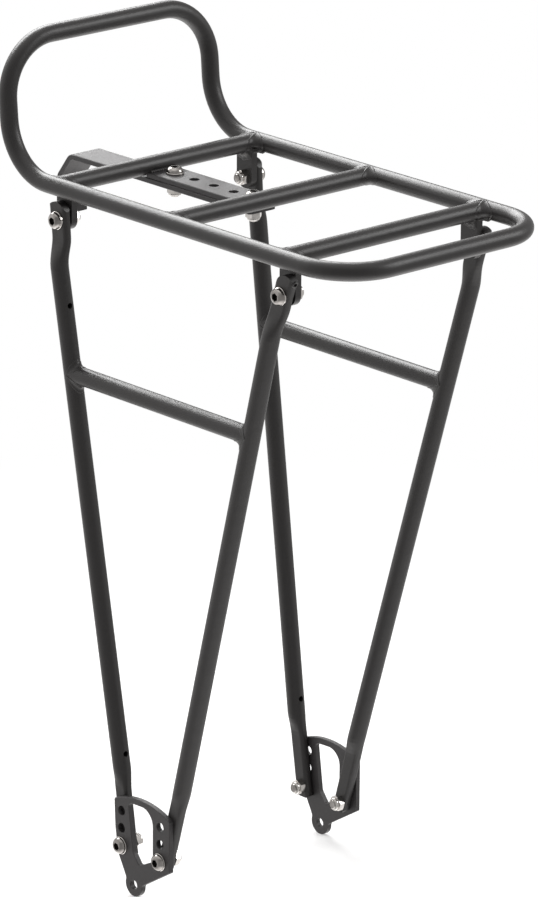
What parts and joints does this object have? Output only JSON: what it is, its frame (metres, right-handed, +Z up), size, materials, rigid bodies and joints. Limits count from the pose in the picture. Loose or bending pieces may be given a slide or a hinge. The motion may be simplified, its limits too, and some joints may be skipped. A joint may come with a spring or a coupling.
{
  "type": "rear rack",
  "caption": "Tubular bicycle rear rack: flat platform with an upright front hoop, bolted legs with struts, height-adjusting dropout plates and a sliding front tang.",
  "frame": {"origin": "midpoint of the line through the two dropout plate eyelets", "axes": "+X towards the tail of the bicycle, +Y across it towards the right-hand side plate, +Z up"},
  "size_m": [0.3081, 0.155, 0.4686],
  "materials": {
    "powder_coat": "satin black powder coat with fine texture",
    "plate_coat": "matte black coat, fine grain",
    "stainless": "bright stainless steel"
  },
  "bodies": {
    "rack": {"platform_loop": "powder_coat", "crossbar_front": "powder_coat", "crossbar_middle": "powder_coat", "crossbar_rear": "powder_coat", "leg_front_left": "powder_coat", "leg_front_right": "powder_coat", "leg_rear_left": "powder_coat", "leg_rear_right": "powder_coat", "strut_left": "powder_coat", "strut_right": "powder_coat", "leg_tab_front_left": "powder_coat", "leg_tab_front_right": "powder_coat", "leg_tab_rear_left": "powder_coat", "leg_tab_rear_right": "powder_coat", "dropout_plate_left": "plate_coat", "dropout_plate_right": "plate_coat", "stay_plate": "plate_coat", "leg_top_bolts": "stainless", "leg_top_washers": "stainless", "leg_top_nuts": "stainless", "dropout_bolts": "stainless", "dropout_washers": "stainless", "dropout_nuts": "stainless", "tang_bolts": "stainless", "tang_top_washers": "stainless", "tang_lower_washers": "stainless", "tang_nuts": "stainless"},
    "tang": {"tang": "plate_coat"}
  },
  "joints": [
    {"name": "tang_slide", "type": "slide", "parent": "rack", "child": "tang", "axis": [1, 0, 0], "range_m": [-0.002, 0.024]}
  ]
}
